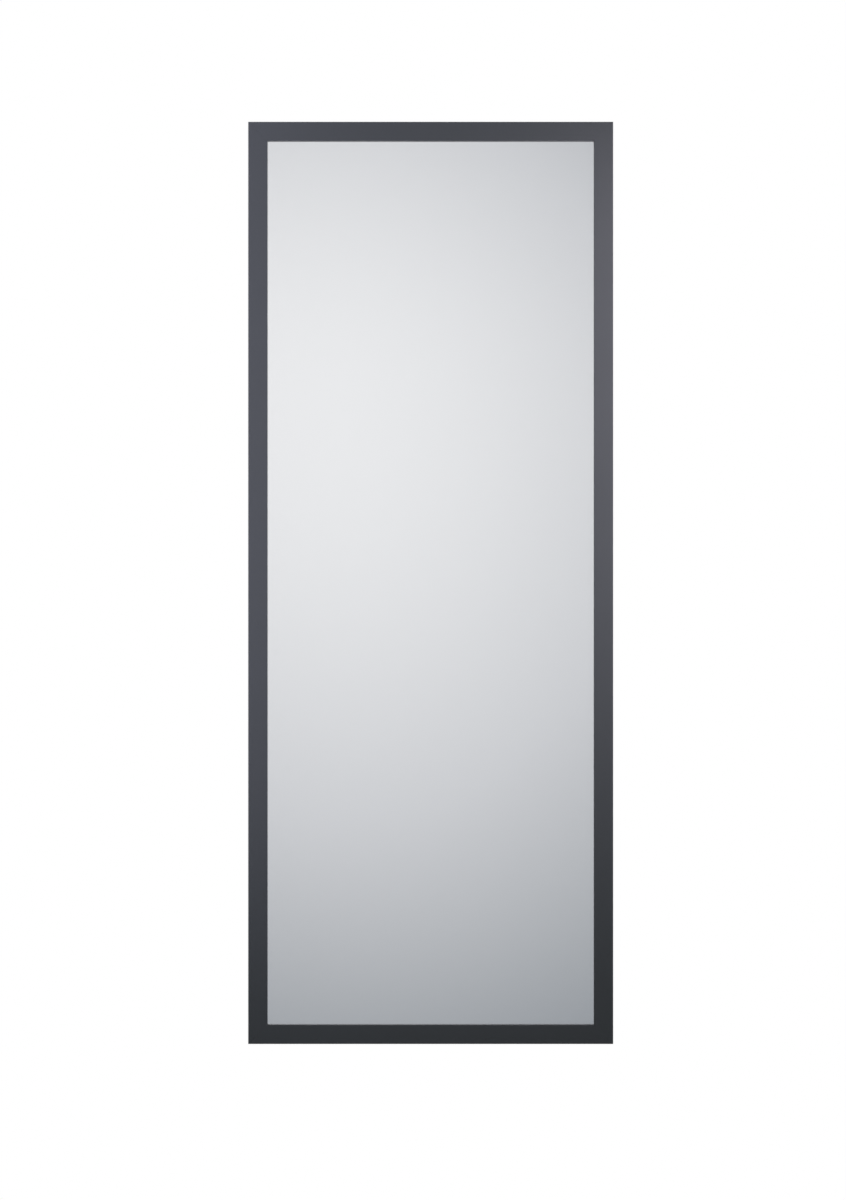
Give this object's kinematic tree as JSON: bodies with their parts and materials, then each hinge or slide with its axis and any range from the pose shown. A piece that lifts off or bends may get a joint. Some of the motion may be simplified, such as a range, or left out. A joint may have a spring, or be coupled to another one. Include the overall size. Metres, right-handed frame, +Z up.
{
  "type": "framed wall mirror",
  "caption": "Tall rectangular wall mirror in a flat mitred frame with satin anthracite finish, hung by rings on its back.",
  "frame": {"origin": "middle of the wall plane, where the tips of the rear bumpers touch the wall", "axes": "+Z up, +Y into the wall, +X to the right for someone in front of the mirror, which faces -Y"},
  "size_m": [0.655, 0.024, 1.655],
  "materials": {
    "frame_foil": "satin",
    "glass": "polished",
    "silver": "polished",
    "cardboard": "matte",
    "hardboard": "matte",
    "block_plastic": "matte",
    "nail_steel": "satin",
    "zinc_steel": "satin",
    "rubber": "matte"
  },
  "bodies": {
    "mirror": {"frame_stile_left": "frame_foil", "frame_stile_right": "frame_foil", "frame_rail_top": "frame_foil", "frame_rail_bottom": "frame_foil", "corner_nails": "nail_steel", "mirror_glass": "glass", "silver_layer": "silver", "setting_blocks": "block_plastic", "edge_spacers": "block_plastic", "cardboard_sheet": "cardboard", "back_panel": "hardboard", "turn_button_screws": "zinc_steel", "hanger_strap_left": "zinc_steel", "hanger_strap_right": "zinc_steel", "hanger_screws": "zinc_steel", "wall_bumper_top_left": "rubber", "wall_bumper_top_right": "rubber", "wall_bumper_bottom_left": "rubber", "wall_bumper_bottom_right": "rubber"},
    "turn_button_left_1": {"turn_button_left_1": "zinc_steel"},
    "turn_button_left_2": {"turn_button_left_2": "zinc_steel"},
    "turn_button_left_3": {"turn_button_left_3": "zinc_steel"},
    "turn_button_left_4": {"turn_button_left_4": "zinc_steel"},
    "turn_button_right_1": {"turn_button_right_1": "zinc_steel"},
    "turn_button_right_2": {"turn_button_right_2": "zinc_steel"},
    "turn_button_right_3": {"turn_button_right_3": "zinc_steel"},
    "turn_button_right_4": {"turn_button_right_4": "zinc_steel"},
    "turn_button_top_1": {"turn_button_top_1": "zinc_steel"},
    "turn_button_top_2": {"turn_button_top_2": "zinc_steel"},
    "turn_button_bottom_1": {"turn_button_bottom_1": "zinc_steel"},
    "turn_button_bottom_2": {"turn_button_bottom_2": "zinc_steel"},
    "hanger_ring_left": {"hanger_ring_left": "zinc_steel"},
    "hanger_ring_right": {"hanger_ring_right": "zinc_steel"}
  },
  "joints": [
    {"name": "swivel_left_1", "type": "hinge", "parent": "mirror", "child": "turn_button_left_1", "pos_m": [-0.3145, -0.0059, 0.6975], "axis": [0, 1, 0], "continuous": true},
    {"name": "swivel_left_2", "type": "hinge", "parent": "mirror", "child": "turn_button_left_2", "pos_m": [-0.3145, -0.0059, 0.2325], "axis": [0, 1, 0], "continuous": true},
    {"name": "swivel_left_3", "type": "hinge", "parent": "mirror", "child": "turn_button_left_3", "pos_m": [-0.3145, -0.0059, -0.2325], "axis": [0, 1, 0], "continuous": true},
    {"name": "swivel_left_4", "type": "hinge", "parent": "mirror", "child": "turn_button_left_4", "pos_m": [-0.3145, -0.0059, -0.6975], "axis": [0, 1, 0], "continuous": true},
    {"name": "swivel_right_1", "type": "hinge", "parent": "mirror", "child": "turn_button_right_1", "pos_m": [0.3145, -0.0059, 0.6975], "axis": [0, 1, 0], "continuous": true},
    {"name": "swivel_right_2", "type": "hinge", "parent": "mirror", "child": "turn_button_right_2", "pos_m": [0.3145, -0.0059, 0.2325], "axis": [0, 1, 0], "continuous": true},
    {"name": "swivel_right_3", "type": "hinge", "parent": "mirror", "child": "turn_button_right_3", "pos_m": [0.3145, -0.0059, -0.2325], "axis": [0, 1, 0], "continuous": true},
    {"name": "swivel_right_4", "type": "hinge", "parent": "mirror", "child": "turn_button_right_4", "pos_m": [0.3145, -0.0059, -0.6975], "axis": [0, 1, 0], "continuous": true},
    {"name": "swivel_top_1", "type": "hinge", "parent": "mirror", "child": "turn_button_top_1", "pos_m": [-0.1975, -0.0059, 0.8145], "axis": [0, 1, 0], "continuous": true},
    {"name": "swivel_top_2", "type": "hinge", "parent": "mirror", "child": "turn_button_top_2", "pos_m": [0.1975, -0.0059, 0.8145], "axis": [0, 1, 0], "continuous": true},
    {"name": "swivel_bottom_1", "type": "hinge", "parent": "mirror", "child": "turn_button_bottom_1", "pos_m": [-0.1975, -0.0059, -0.8145], "axis": [0, 1, 0], "continuous": true},
    {"name": "swivel_bottom_2", "type": "hinge", "parent": "mirror", "child": "turn_button_bottom_2", "pos_m": [0.1975, -0.0059, -0.8145], "axis": [0, 1, 0], "continuous": true},
    {"name": "ring_swing_left", "type": "hinge", "parent": "mirror", "child": "hanger_ring_left", "pos_m": [-0.3145, -0.00335, 0.6075], "axis": [1, 0, 0], "range_deg": [0, 180]},
    {"name": "ring_swing_right", "type": "hinge", "parent": "mirror", "child": "hanger_ring_right", "pos_m": [0.3145, -0.00335, 0.6075], "axis": [1, 0, 0], "range_deg": [0, 180]}
  ]
}
